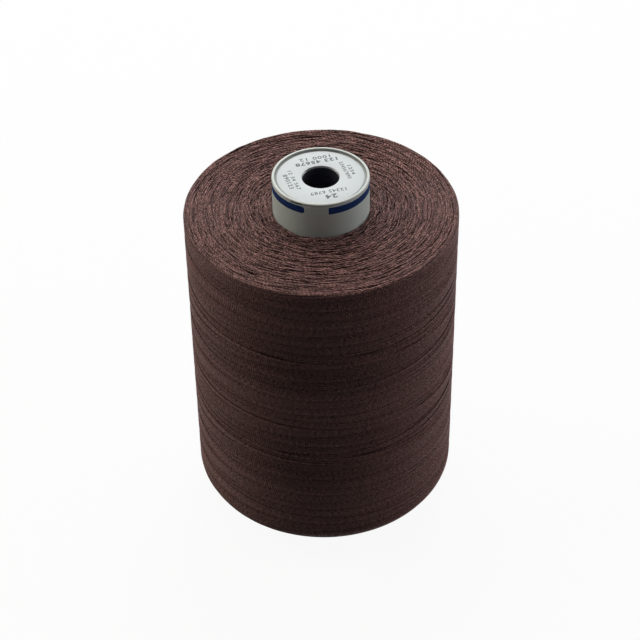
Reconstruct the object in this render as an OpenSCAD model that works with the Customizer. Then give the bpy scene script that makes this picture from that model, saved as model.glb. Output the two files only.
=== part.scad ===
/* [Thread package] */
// Diameter across the wound thread
thread_d = 86; // [70:1:110]
// Height of the wound thread along the tube
thread_h = 108; // [80:1:140]
// Rounding of the package's upper edge
top_edge_r = 2.5; // [1:0.5:6]
// Rounding of the package's lower edge
bottom_edge_r = 7; // [1:0.5:10]
/* [Outer winding] */
// Thickness of the strand that stands for the last laid threads
strand_d = 0.8; // [0.6:0.1:1.2]
// Radial step from one ring of the end face to the next
face_pitch = 3.6; // [3:0.1:6]
// Climb of the strand along the side for each turn
side_pitch = 12; // [11:0.5:20]
// Clear space left where the strand passes over itself
cross_gap = 0.45; // [0.42:0.01:0.6]
// Distance from the tube to the first ring on the end face
first_ring = 2; // [1.5:0.5:4]
/* [Winding tube] */
// Outside diameter of the tube
tube_d = 30.2; // [26:0.2:36]
// Wall thickness of the tube
tube_wall = 1.6; // [1.2:0.1:2.2]
// Collar that stands out of the thread at the top, lip included
collar_h = 12.2; // [8:0.1:20]
// Foot that stands out of the thread at the bottom, lip included
foot_h = 4.8; // [4:0.1:12]
// Bevel on the tube's ends, which shows as a fine seam under each lip
seam_bevel = 0.2; // [0.1:0.05:0.4]
/* [End caps] */
// Height of the lip above the end of the tube
lip_h = 1.1; // [1:0.1:2.5]
// Width of the lip across its rim
lip_w = 1; // [0.9:0.1:1.5]
// Rounding of the lip's outer edge
lip_round = 0.4; // [0.3:0.05:0.5]
// Rounding of the lip's inner edge
lip_inner_round = 0.2; // [0.1:0.05:0.3]
// Rise of the web's face above the end of the tube
web_rise = 0.3; // [0.2:0.1:0.7]
// Thickness of the web across the end
web_t = 1.6; // [1.2:0.1:2.4]
// Length of the skirt and boss below the web
skirt_len = 8; // [5:0.5:14]
// Thickness of the skirt's wall
skirt_wall = 1.2; // [0.8:0.1:1.6]
// Thickness of the boss round the sleeve
boss_wall = 1.3; // [0.8:0.1:2]
// Number of ribs between the boss and the skirt
rib_count = 6; // [3:1:9]
// Thickness of a rib
rib_t = 1.1; // [0.8:0.1:1.6]
// How far the ribs stop short of the skirt's end
rib_short = 3; // [1:0.5:4]
// Bevel that leads the skirt into the tube
lead_in = 0.5; // [0.2:0.1:0.7]
/* [Thread catch] */
// Length of the nick in the lip that holds the thread's end
catch_len = 3.6; // [2:0.1:6]
// Height of the nick
catch_h = 0.4; // [0.3:0.05:0.5]
// Height of the nick above the end of the tube
catch_z = 0.3; // [0.1:0.05:0.4]
// Depth of the nick into the lip
catch_deep = 0.5; // [0.3:0.05:0.7]
// Direction of the nick, counted from the front towards the left
catch_angle = 30; // [0:5:90]
/* [Spindle sleeve] */
// Bore for the spindle
bore_d = 11; // [8:0.5:14]
// Wall thickness of the sleeve
sleeve_wall = 1.5; // [1:0.1:2]
// Bevel at each mouth of the bore
bore_bevel = 0.3; // [0.2:0.1:0.6]
/* [End label] */
// Gap between the paper disc and the lip round it
label_gap = 0.6; // [0.2:0.1:1]
// Thickness of the paper disc
label_t = 0.15; // [0.1:0.05:0.3]
/* [Fits] */
// Clearance of each moulded piece in its seat
fit = 0.05; // [0.02:0.01:0.1]
// Clearance between the wound thread and what it lies on
seat = 0.05; // [0.02:0.01:0.1]

/* [Hidden] */
$fn = 96;

eps = 0.01;
shell_colour = [0.66, 0.68, 0.65];
sleeve_colour = [0.05, 0.05, 0.06];
label_colour = [0.93, 0.94, 0.94];
thread_colour = [0.37, 0.29, 0.28];
strand_colour = [0.45, 0.35, 0.34];

tube_r = tube_d / 2;
tube_bore_r = tube_r - tube_wall;
total_h = foot_h + thread_h + collar_h;
bore_r = bore_d / 2;
sleeve_r = bore_r + sleeve_wall;
skirt_r = tube_bore_r - fit;
lip_inner_r = tube_r - lip_w;
web_low = web_rise - web_t;
label_r = lip_inner_r - label_gap;
recess = lip_h - web_rise;

// The outer winding: one strand, drawn with 24 rings to the loop and 6 sides.
rings = 24;
sides = 6;
turn_step = 360 / rings;
thread_r = thread_d / 2;
hop = strand_d + cross_gap;
// How far the chord between two rings falls inside the round path.
chord_sag = thread_r * (1 - cos(turn_step / 2));
core_r = thread_r - seat - chord_sag - strand_d - hop;
core_top = foot_h + thread_h - seat - strand_d;

// Lengths along the package's outline, from the first ring on the end face outwards and down.
ring_start_r = tube_r + first_ring;
shoulder_in = core_r - top_edge_r;
face_run = shoulder_in - ring_start_r;
shoulder_run = top_edge_r * PI / 2;
side_run = core_top - top_edge_r - foot_h - bottom_edge_r - strand_d;
face_steps = floor(face_run / face_pitch * rings);
over_steps = ceil(shoulder_run / side_pitch * rings);
side_steps = floor(side_run / side_pitch * rings);
turn_back = face_steps + over_steps + side_steps;
last_step = turn_back + side_steps;
// The strand turns back at the front, so that its crossings face front and back.
turn_back_angle = 270;
// A crossing is held clear over this many degrees to each side, and eased out by the second angle.
cross_hold = 20;
cross_ease = 45;

// A point of the outline at run s: radius, height, and the outward direction there.
function outline(s) =
    s <= face_run ? [ring_start_r + s, core_top, 0, 1]
    : s <= face_run + shoulder_run
      ? let (a = 90 * (s - face_run) / shoulder_run)
        [shoulder_in + top_edge_r * sin(a), core_top - top_edge_r + top_edge_r * cos(a),
         sin(a), cos(a)]
    : [core_r, core_top - top_edge_r - (s - face_run - shoulder_run), 1, 0];

// The run that the strand has reached at step i: out over the face, down the side, and up again.
function run_at(i) =
    let (down = i <= turn_back ? i : 2 * turn_back - i)
    down <= face_steps ? face_run * down / face_steps
    : face_run + (down - face_steps) / rings * side_pitch;

function smooth(t) = let (c = max(0, min(1, t))) c * c * (3 - 2 * c);

// How far the strand is lifted at step i to pass over the turns laid before it.
function lift_at(i) =
    let (after = (i - turn_back) * turn_step,
         off = abs(after - 180 * round(after / 180)))
    after < 90 ? 0 : hop * smooth((cross_ease - off) / (cross_ease - cross_hold));

function strand_frame(i) =
    let (o = outline(run_at(i)),
         angle = turn_back_angle + (i - turn_back) * turn_step,
         out = strand_d / 2 + seat + chord_sag * o[2] + lift_at(i))
    [o[0] + out * o[2], o[1] + out * o[3], o[2], o[3], angle];

function polar(r, z, angle) = [r * cos(angle), r * sin(angle), z];

function strand_ring(f) =
    [for (k = [0 : sides - 1])
        let (a = 360 * (k + 0.5) / sides, c = strand_d / 2 * cos(a), s = strand_d / 2 * sin(a))
        polar(f[0] + c * f[2] - s * f[3], f[1] + c * f[3] + s * f[2], f[4])];

strand_frames = [for (i = [0 : last_step]) strand_frame(i)];
strand_points = [for (f = strand_frames) each strand_ring(f)];
strand_last = last_step * sides;
strand_faces = concat(
    [for (i = [0 : last_step - 1], k = [0 : sides - 1])
        let (a = i * sides + k, b = i * sides + (k + 1) % sides)
        each [[a, b, b + sides], [a, b + sides, a + sides]]],
    [for (k = [1 : sides - 2]) [0, k + 1, k]],
    [for (k = [1 : sides - 2]) [strand_last, strand_last + k, strand_last + k + 1]]);

// Least gap between any two turns, over rings that share a direction from the axis.
function strand_centre(i) = polar(strand_frames[i][0], strand_frames[i][1], strand_frames[i][4]);
function least_strand_gap() =
    min([for (i = [0 : last_step - rings / 2], j = [i + rings / 2 : last_step])
        norm(strand_centre(i) - strand_centre(j))]) - strand_d;

// A flat outline between two radii and two heights, with its outer corners rounded.
module rounded_section(r_in, r_out, z_low, z_high, low_round, high_round) {
    translate([r_in, z_low + low_round])
        square([r_out - r_in, z_high - z_low - low_round - high_round]);
    translate([r_in, z_low]) square([r_out - low_round - r_in, low_round + eps]);
    translate([r_in, z_high - high_round - eps])
        square([r_out - high_round - r_in, high_round + eps]);
    translate([r_out - low_round, z_low + low_round]) circle(low_round);
    translate([r_out - high_round, z_high - high_round]) circle(high_round);
}

module winding_tube() {
    color(shell_colour)
    rotate_extrude()
    polygon([
        [tube_bore_r, lip_h], [tube_r - seam_bevel, lip_h], [tube_r, lip_h + seam_bevel],
        [tube_r, total_h - lip_h - seam_bevel], [tube_r - seam_bevel, total_h - lip_h],
        [tube_bore_r, total_h - lip_h]]);
}

// The lip's section: a bead with a rounded rim, which sits on the end of the tube.
module lip_section() {
    translate([lip_inner_r, 0]) square([lip_w, lip_h - lip_round]);
    translate([lip_inner_r, 0]) square([lip_inner_round, lip_h - lip_inner_round]);
    translate([lip_inner_r + lip_inner_round, 0])
        square([lip_w - lip_inner_round - lip_round, lip_h]);
    translate([tube_r - lip_round, lip_h - lip_round]) circle(lip_round);
    translate([lip_inner_r + lip_inner_round, lip_h - lip_inner_round]) circle(lip_inner_round);
}

// Web, skirt and boss in section. Only the web's face rises out of the tube, to join the lip.
module plug_section() {
    boss_in = sleeve_r + fit;
    translate([boss_in, web_low]) square([skirt_r - boss_in, web_t]);
    translate([skirt_r - eps, 0]) square([lip_inner_r - skirt_r + 2 * eps, web_rise]);
    translate([boss_in, web_low - skirt_len]) square([boss_wall, skirt_len + eps]);
    polygon([
        [skirt_r - skirt_wall, web_low + eps],
        [skirt_r - skirt_wall, web_low - skirt_len],
        [skirt_r - lead_in, web_low - skirt_len],
        [skirt_r, web_low - skirt_len + lead_in],
        [skirt_r, web_low + eps]]);
}

module cap_ribs() {
    rib_in = sleeve_r + fit + boss_wall / 2;
    rib_out = skirt_r - skirt_wall / 2;
    rib_h = skirt_len - rib_short;
    for (k = [0 : rib_count - 1])
        rotate(360 * k / rib_count)
        translate([rib_in, -rib_t / 2, web_low - rib_h])
        cube([rib_out - rib_in, rib_t, rib_h + eps]);
}

// The nick that grips the thread's end, cut into the outside of the lip.
module thread_catch() {
    sweep = catch_len / tube_r * 180 / PI;
    rotate(270 - catch_angle - sweep / 2)
    rotate_extrude(angle = sweep)
    translate([tube_r - catch_deep, catch_z]) square([catch_deep + lip_w, catch_h]);
}

// One moulding serves both ends. It stands here on the tube's end, with its lip up.
module end_cap() {
    color(shell_colour)
    difference() {
        union() {
            rotate_extrude() {
                lip_section();
                plug_section();
            }
            cap_ribs();
        }
        thread_catch();
    }
}

module top_cap() {
    translate([0, 0, total_h - lip_h]) end_cap();
}

module foot_cap() {
    translate([0, 0, lip_h]) rotate([180, 0, 0]) end_cap();
}

// The sleeve ends flush with both webs.
module spindle_sleeve() {
    color(sleeve_colour)
    rotate_extrude()
    polygon([
        [bore_r + bore_bevel, recess], [sleeve_r, recess],
        [sleeve_r, total_h - recess], [bore_r + bore_bevel, total_h - recess],
        [bore_r, total_h - recess - bore_bevel], [bore_r, recess + bore_bevel]]);
}

// The label's hole matches the bevelled mouth of the bore.
module end_label() {
    color(label_colour)
    translate([0, 0, total_h - recess])
    difference() {
        cylinder(h = label_t, r = label_r);
        translate([0, 0, -label_t]) cylinder(h = 3 * label_t, r = bore_r + bore_bevel);
    }
}

module thread_core() {
    color(thread_colour)
    rotate_extrude()
    rounded_section(tube_r + seat, core_r, foot_h, core_top, bottom_edge_r, top_edge_r);
}

module thread_winding() {
    color(strand_colour) polyhedron(strand_points, strand_faces, convexity = 10);
    echo(loops = last_step / rings, least_gap_mm = least_strand_gap());
}

winding_tube();
top_cap();
foot_cap();
spindle_sleeve();
end_label();
thread_core();
thread_winding();
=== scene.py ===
"""Looks of a cross-wound spool of sewing thread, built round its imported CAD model.

The spool is a grey plastic tube with a moulded cap in each end, a black sleeve for the
spindle, a paper disc on the top cap, and a package of dark brown thread wound on it.
All lengths are in metres, in the CAD model's own frame.
"""

import logging
import math
from collections.abc import Callable, Iterable, Sequence
from dataclasses import dataclass, field
from enum import Enum

import bmesh
import bpy
from mathutils import Matrix, Vector


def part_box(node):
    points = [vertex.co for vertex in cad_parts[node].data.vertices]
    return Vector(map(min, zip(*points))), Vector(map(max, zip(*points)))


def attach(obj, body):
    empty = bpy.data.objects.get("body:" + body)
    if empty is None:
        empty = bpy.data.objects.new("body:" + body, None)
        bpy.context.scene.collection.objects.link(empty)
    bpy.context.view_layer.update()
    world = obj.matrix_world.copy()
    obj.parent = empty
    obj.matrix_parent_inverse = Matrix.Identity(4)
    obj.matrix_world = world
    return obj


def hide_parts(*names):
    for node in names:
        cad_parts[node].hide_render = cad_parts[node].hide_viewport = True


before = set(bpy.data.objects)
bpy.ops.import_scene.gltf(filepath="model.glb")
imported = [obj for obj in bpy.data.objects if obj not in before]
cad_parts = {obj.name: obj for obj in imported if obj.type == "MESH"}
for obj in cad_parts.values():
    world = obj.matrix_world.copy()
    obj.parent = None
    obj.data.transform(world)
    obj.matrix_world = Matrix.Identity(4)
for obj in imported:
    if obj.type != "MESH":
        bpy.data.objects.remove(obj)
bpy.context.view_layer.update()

MM = 0.001
TURN = 2 * math.pi
BODY = "root"
FRONT = -math.pi / 2
TUBE_WALL = 1.6 * MM
FIT = 0.05 * MM

log = logging.getLogger("thread_spool")

Colour = tuple[float, float, float]
Point = tuple[float, float]
Band = tuple[float, float, float, float]

WHITE: Colour = (1.0, 1.0, 1.0)


def frontwards(degrees_left: float) -> float:
    """Angle round +Z, in radians, of a direction counted from the front towards the left."""
    return FRONT - math.radians(degrees_left)


# ---------------------------------------------------------------------------
# Writing node trees
# ---------------------------------------------------------------------------


class Field:
    """A number that varies over a node tree, written with ordinary arithmetic."""

    def __init__(self, writer: "NodeWriter", socket: bpy.types.NodeSocket) -> None:
        """Holds the socket that the number comes out of.

        Args:
            writer: the writer of the tree that the socket is in.
            socket: the output socket.
        """
        self.writer = writer
        self.socket = socket

    def __add__(self, other: "Number") -> "Field":
        """Sum."""
        return self.writer.math("ADD", self, other)

    __radd__ = __add__

    def __sub__(self, other: "Number") -> "Field":
        """Difference."""
        return self.writer.math("SUBTRACT", self, other)

    def __rsub__(self, other: "Number") -> "Field":
        """Difference, the other way round."""
        return self.writer.math("SUBTRACT", other, self)

    def __mul__(self, other: "Number") -> "Field":
        """Product."""
        return self.writer.math("MULTIPLY", self, other)

    def __truediv__(self, other: "Number") -> "Field":
        """Quotient."""
        return self.writer.math("DIVIDE", self, other)

    def floor(self) -> "Field":
        """The whole number below."""
        return self.writer.math("FLOOR", self)

    def fraction(self) -> "Field":
        """The part after the whole number below."""
        return self.writer.math("FRACT", self)

    def root(self) -> "Field":
        """Square root."""
        return self.writer.math("SQRT", self)

    def sine(self) -> "Field":
        """Sine of an angle in radians."""
        return self.writer.math("SINE", self)

    def cosine(self) -> "Field":
        """Cosine of an angle in radians."""
        return self.writer.math("COSINE", self)

    def size(self) -> "Field":
        """The number without its sign."""
        return self.writer.math("ABSOLUTE", self)

    def between(self, low: "Number", high: "Number") -> "Field":
        """The number held between two limits."""
        return self.writer.math("MINIMUM", self.writer.math("MAXIMUM", self, low), high)

    def power(self, exponent: float) -> "Field":
        """The number raised to a power."""
        return self.writer.math("POWER", self, exponent)


Number = Field | float | int


class NodeWriter:
    """Writes nodes and their links into one node tree."""

    def __init__(self, tree: bpy.types.NodeTree) -> None:
        """Takes the tree to write into."""
        self.tree = tree

    def node(self, kind: str, **settings: object) -> bpy.types.Node:
        """Adds a node.

        Args:
            kind: the node's type name.
            settings: values for the node's own properties.

        Returns:
            The new node.
        """
        made = self.tree.nodes.new(kind)
        for name, value in settings.items():
            setattr(made, name, value)
        return made

    def feed(self, socket: bpy.types.NodeSocket, value: object) -> None:
        """Gives an input socket a link or a value.

        Args:
            socket: the input.
            value: a field or an output socket to link, or a plain value.
        """
        if isinstance(value, Field):
            self.tree.links.new(value.socket, socket)
        elif isinstance(value, bpy.types.NodeSocket):
            self.tree.links.new(value, socket)
        else:
            socket.default_value = value

    def math(self, operation: str, *terms: Number) -> Field:
        """One step of arithmetic on one, two or three terms."""
        made = self.node("ShaderNodeMath", operation=operation)
        for socket, term in zip(made.inputs, terms):
            self.feed(socket, term)
        return Field(self, made.outputs[0])

    def smooth(self, value: Number, low: Number, high: Number) -> Field:
        """A soft step from 0 at the low value to 1 at the high one."""
        made = self.node("ShaderNodeMapRange", interpolation_type="SMOOTHSTEP")
        self.feed(made.inputs["Value"], value)
        self.feed(made.inputs["From Min"], low)
        self.feed(made.inputs["From Max"], high)
        return Field(self, made.outputs["Result"])

    def lerp(self, share: Number, low: Number, high: Number) -> Field:
        """The number that lies a share of the way from one value to another."""
        made = self.node("ShaderNodeMapRange")
        self.feed(made.inputs["Value"], share)
        self.feed(made.inputs["To Min"], low)
        self.feed(made.inputs["To Max"], high)
        return Field(self, made.outputs["Result"])

    def ripple(self, place: Number, scale: float, detail: float = 0.0) -> Field:
        """Smooth noise from about -0.5 to 0.5 along a line.

        Args:
            place: where on the line.
            scale: waves for each unit of place.
            detail: octaves added to the first.

        Returns:
            The noise.
        """
        made = self.node("ShaderNodeTexNoise", noise_dimensions="1D")
        self.feed(made.inputs["W"], place)
        made.inputs["Scale"].default_value = scale
        made.inputs["Detail"].default_value = detail
        return Field(self, made.outputs[0]) - 0.5

    def blend(self, share: Number, low: Colour, high: Colour) -> bpy.types.NodeSocket:
        """A colour between two, by a share."""
        made = self.node("ShaderNodeMix", data_type="RGBA")
        self.feed(made.inputs["Factor"], share)
        # The node has sockets for every kind of value, and these are the ones for colours.
        low_colour, high_colour = made.inputs[6:8]
        low_colour.default_value = (*low, 1)
        high_colour.default_value = (*high, 1)
        return made.outputs[2]

    def background_rays(self) -> Field:
        """One for the rays that show the background, nothing for those that only carry light."""
        path = self.node("ShaderNodeLightPath")
        seen = Field(self, path.outputs["Is Camera Ray"])
        for other in ("Is Glossy Ray", "Is Transmission Ray"):
            seen = self.math("MAXIMUM", seen, Field(self, path.outputs[other]))
        return seen


class ShapeTree(NodeWriter):
    """A geometry node tree with named inputs, which makes one mesh."""

    def __init__(self, name: str) -> None:
        """Starts an empty tree of this name."""
        super().__init__(bpy.data.node_groups.new(name, "GeometryNodeTree"))
        self.tree.interface.new_socket(
            name="Mesh", in_out="OUTPUT", socket_type="NodeSocketGeometry"
        )
        self.entry = self.node("NodeGroupInput")
        self.identifiers: dict[str, str] = {}

    def _input(self, name: str, kind: str) -> Field:
        """Adds a named input and returns its field."""
        socket = self.tree.interface.new_socket(name=name, in_out="INPUT", socket_type=kind)
        self.identifiers[name] = socket.identifier
        return Field(self, self.entry.outputs[name])

    def number(self, name: str) -> Field:
        """A named input that holds a length, an angle or a share."""
        return self._input(name, "NodeSocketFloat")

    def count(self, name: str) -> Field:
        """A named input that holds a whole number."""
        return self._input(name, "NodeSocketInt")

    def index(self) -> Field:
        """The number of each point, from 0."""
        return Field(self, self.node("GeometryNodeInputIndex").outputs[0])

    def random(self, low: Number, high: Number, key: Number, seed: Number) -> Field:
        """An even random number for each key.

        Args:
            low: the least value.
            high: the greatest value.
            key: a whole number; each has its own draw.
            seed: the seed of the draws.

        Returns:
            The random number.
        """
        made = self.node("FunctionNodeRandomValue", data_type="FLOAT")
        by_name = {socket.identifier: socket for socket in made.inputs}
        self.feed(by_name["Min_001"], low)
        self.feed(by_name["Max_001"], high)
        self.feed(by_name["ID"], key)
        self.feed(by_name["Seed"], seed)
        return Field(self, made.outputs[1])

    def strands(
        self,
        points: Number,
        radial: Field,
        angle: Field,
        height: Field,
        group: Field,
        thickness: Number,
        attributes: dict[str, Field],
        sides: int,
        material: bpy.types.Material,
    ) -> None:
        """Draws round strands through points given by radius, angle and height.

        Args:
            points: how many points there are.
            radial: each point's distance from the axis.
            angle: each point's angle round the axis.
            height: each point's height.
            group: the number of the strand that each point belongs to.
            thickness: radius of a strand.
            attributes: what else each point keeps for the material.
            sides: sides of a strand.
            material: the strands' material.
        """
        cloud = self.node("GeometryNodePoints")
        self.feed(cloud.inputs["Count"], points)
        place = self.node("ShaderNodeCombineXYZ")
        self.feed(place.inputs["X"], radial * angle.cosine())
        self.feed(place.inputs["Y"], radial * angle.sine())
        self.feed(place.inputs["Z"], height)
        self.feed(cloud.inputs["Position"], place.outputs[0])
        flow = cloud.outputs[0]
        for name, value in attributes.items():
            store = self.node(
                "GeometryNodeStoreNamedAttribute", data_type="FLOAT", domain="POINT"
            )
            self.feed(store.inputs["Geometry"], flow)
            store.inputs["Name"].default_value = name
            self.feed(store.inputs["Value"], value)
            flow = store.outputs[0]
        curves = self.node("GeometryNodePointsToCurves")
        self.feed(curves.inputs["Points"], flow)
        self.feed(curves.inputs["Curve Group ID"], group)
        section = self.node("GeometryNodeCurvePrimitiveCircle")
        section.inputs["Resolution"].default_value = sides
        self.feed(section.inputs["Radius"], thickness)
        tube = self.node("GeometryNodeCurveToMesh")
        self.feed(tube.inputs["Curve"], curves.outputs[0])
        self.feed(tube.inputs["Profile Curve"], section.outputs[0])
        tube.inputs["Fill Caps"].default_value = True
        soften = self.node("GeometryNodeSetShadeSmooth")
        self.feed(soften.inputs["Geometry"], tube.outputs[0])
        real = self.node("GeometryNodeRealizeInstances")
        self.feed(real.inputs["Geometry"], soften.outputs[0])
        coloured = self.node("GeometryNodeSetMaterial")
        self.feed(coloured.inputs["Geometry"], real.outputs[0])
        coloured.inputs["Material"].default_value = material
        result = self.node("NodeGroupOutput")
        self.feed(result.inputs[0], coloured.outputs[0])

    def make(self, name: str, **values: float) -> bpy.types.Object:
        """Runs the tree and keeps its result as a plain mesh.

        Args:
            name: the new object's name.
            values: the tree's inputs, with underscores for the spaces in their names.

        Returns:
            An object at the origin, with no modifier.
        """
        made = add_object(name, bpy.data.meshes.new(name + "_start"))
        modifier = made.modifiers.new("Shape", "NODES")
        modifier.node_group = self.tree
        for key, value in values.items():
            modifier[self.identifiers[key.replace("_", " ")]] = value
        graph = bpy.context.evaluated_depsgraph_get()
        mesh = bpy.data.meshes.new_from_object(made.evaluated_get(graph), depsgraph=graph)
        made.modifiers.clear()
        made.data = mesh
        mesh.name = name
        return made


# ---------------------------------------------------------------------------
# Mesh helpers
# ---------------------------------------------------------------------------


def add_object(name: str, data: bpy.types.ID | None) -> bpy.types.Object:
    """Puts a new object at the origin of the scene."""
    made = bpy.data.objects.new(name, data)
    bpy.context.scene.collection.objects.link(made)
    return made


@dataclass(frozen=True)
class Corner:
    """A corner of a turned outline, with the radius that rounds it.

    Attributes:
        r: distance from the axis.
        z: height.
        rounding: radius of the rounding, where 0 is a sharp corner.
    """

    r: float
    z: float
    rounding: float = 0.0


def rounded_outline(corners: Sequence[Corner], steps: int = 6) -> list[Point]:
    """Traces a closed outline and rounds its corners.

    Args:
        corners: the corners in order.
        steps: how many short lines make a rounded corner.

    Returns:
        The outline's points, as radius and height.
    """
    points: list[Point] = []
    for i, corner in enumerate(corners):
        here = Vector((corner.r, corner.z))
        if corner.rounding <= 0:
            points.append((here.x, here.y))
            continue
        before = corners[i - 1]
        after = corners[(i + 1) % len(corners)]
        back = (Vector((before.r, before.z)) - here).normalized()
        forth = (Vector((after.r, after.z)) - here).normalized()
        half = back.angle(forth) / 2
        reach = corner.rounding / math.tan(half)
        centre = here + (back + forth).normalized() * (corner.rounding / math.sin(half))
        start = here + back * reach - centre
        end = here + forth * reach - centre
        sweep = start.angle_signed(end)
        for k in range(steps + 1):
            turned = start.copy()
            turned.rotate(Matrix.Rotation(-sweep * k / steps, 2))
            points.append(tuple(centre + turned))
    return points


def even_angles(count: int) -> list[float]:
    """Angles spaced evenly over a full turn."""
    return [TURN * k / count for k in range(count)]


def finish_mesh(work: bmesh.types.BMesh, name: str, crease: float = 35.0) -> bpy.types.Object:
    """Turns a bmesh into an object with smooth faces and crisp creases.

    Args:
        work: the mesh; it is freed.
        name: the new object's name.
        crease: the angle in degrees above which an edge stays crisp.

    Returns:
        The new object.
    """
    bmesh.ops.recalc_face_normals(work, faces=work.faces)
    for face in work.faces:
        face.smooth = True
    limit = math.radians(crease)
    for edge in work.edges:
        edge.smooth = edge.calc_face_angle(0.0) < limit
    mesh = bpy.data.meshes.new(name)
    work.to_mesh(mesh)
    work.free()
    return add_object(name, mesh)


def add_turned(
    work: bmesh.types.BMesh,
    outline: Sequence[Point],
    angles: Sequence[float],
    shift: Callable[[Point, float], float] | None = None,
) -> None:
    """Turns a closed outline about the Z axis into a bmesh.

    Args:
        work: the mesh that it is added to.
        outline: the outline's points, as radius and height.
        angles: the angles of the outline's copies.
        shift: how far a point of the outline moves outwards at an angle.
    """
    columns = []
    for angle in angles:
        column = []
        for point in outline:
            r = point[0] + (shift(point, angle) if shift else 0.0)
            column.append(work.verts.new((r * math.cos(angle), r * math.sin(angle), point[1])))
        columns.append(column)
    count = len(outline)
    for a, column in enumerate(columns):
        following = columns[(a + 1) % len(columns)]
        for k in range(count):
            n = (k + 1) % count
            work.faces.new((column[k], following[k], following[n], column[n]))


def dress(
    piece: bpy.types.Object,
    material: bpy.types.Material,
    replaced: Iterable[str] = (),
) -> bpy.types.Object:
    """Gives a finished piece its material and its place in the frame.

    Args:
        piece: the piece.
        material: its material.
        replaced: the CAD nodes that it stands for.

    Returns:
        The piece.
    """
    piece.data.materials.clear()
    piece.data.materials.append(material)
    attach(piece, BODY)
    nodes = list(replaced)
    if nodes:
        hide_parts(*nodes)
    log.info("%s: %d faces", piece.name, len(piece.data.polygons))
    return piece


# ---------------------------------------------------------------------------
# Finishes
# ---------------------------------------------------------------------------


class FinishTree(NodeWriter):
    """The node tree of one material, with a Principled shader in it."""

    def __init__(self, name: str) -> None:
        """Starts a material of this name."""
        self.material = bpy.data.materials.new(name)
        self.material.use_nodes = True
        super().__init__(self.material.node_tree)
        self.tree.nodes.clear()
        self.shader = self.node("ShaderNodeBsdfPrincipled")
        self.surface = self.node("ShaderNodeOutputMaterial").inputs["Surface"]
        self.feed(self.surface, self.shader.outputs[0])

    def set(self, **values: object) -> None:
        """Sets the shader's inputs, with underscores for the spaces in their names."""
        for name, value in values.items():
            self.feed(self.shader.inputs[name.replace("_", " ")], value)

    def place(self) -> bpy.types.NodeSocket:
        """The point on the piece, in metres."""
        return self.node("ShaderNodeTexCoord").outputs["Object"]

    def parts(self, vector: bpy.types.NodeSocket) -> tuple[Field, Field, Field]:
        """The three numbers of a vector."""
        made = self.node("ShaderNodeSeparateXYZ")
        self.feed(made.inputs[0], vector)
        x, y, z = (Field(self, output) for output in made.outputs)
        return x, y, z

    def attribute(self, name: str) -> Field:
        """A number that the mesh carries."""
        made = self.node("ShaderNodeAttribute", attribute_name=name)
        return Field(self, made.outputs["Fac"])

    def noise(self, scale: float, detail: float = 2.0, stretch: Sequence[float] = (1, 1, 1)) -> Field:
        """Cloudy noise from 0 to 1 on the piece.

        Args:
            scale: clouds to the metre.
            detail: octaves.
            stretch: how much more often they repeat along each axis.

        Returns:
            The noise.
        """
        made = self.node("ShaderNodeTexNoise")
        mapping = self.node("ShaderNodeMapping")
        mapping.inputs["Scale"].default_value = stretch
        self.feed(mapping.inputs["Vector"], self.place())
        self.feed(made.inputs["Vector"], mapping.outputs[0])
        made.inputs["Scale"].default_value = scale
        made.inputs["Detail"].default_value = detail
        return Field(self, made.outputs[0])

    def shade(self, colour: bpy.types.NodeSocket, level: Number) -> bpy.types.NodeSocket:
        """A colour made lighter or darker by a factor."""
        made = self.node("ShaderNodeVectorMath", operation="SCALE")
        self.feed(made.inputs[0], colour)
        self.feed(made.inputs["Scale"], level)
        return made.outputs[0]

    def relief(self, height: Field, depth: float) -> None:
        """Raises the surface by a height field.

        Args:
            height: the height, where 1 is the full depth.
            depth: the full depth in metres.
        """
        made = self.node("ShaderNodeBump")
        made.inputs["Strength"].default_value = 1.0
        made.inputs["Distance"].default_value = depth
        self.feed(made.inputs["Height"], height)
        self.feed(self.shader.inputs["Normal"], made.outputs[0])


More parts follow.
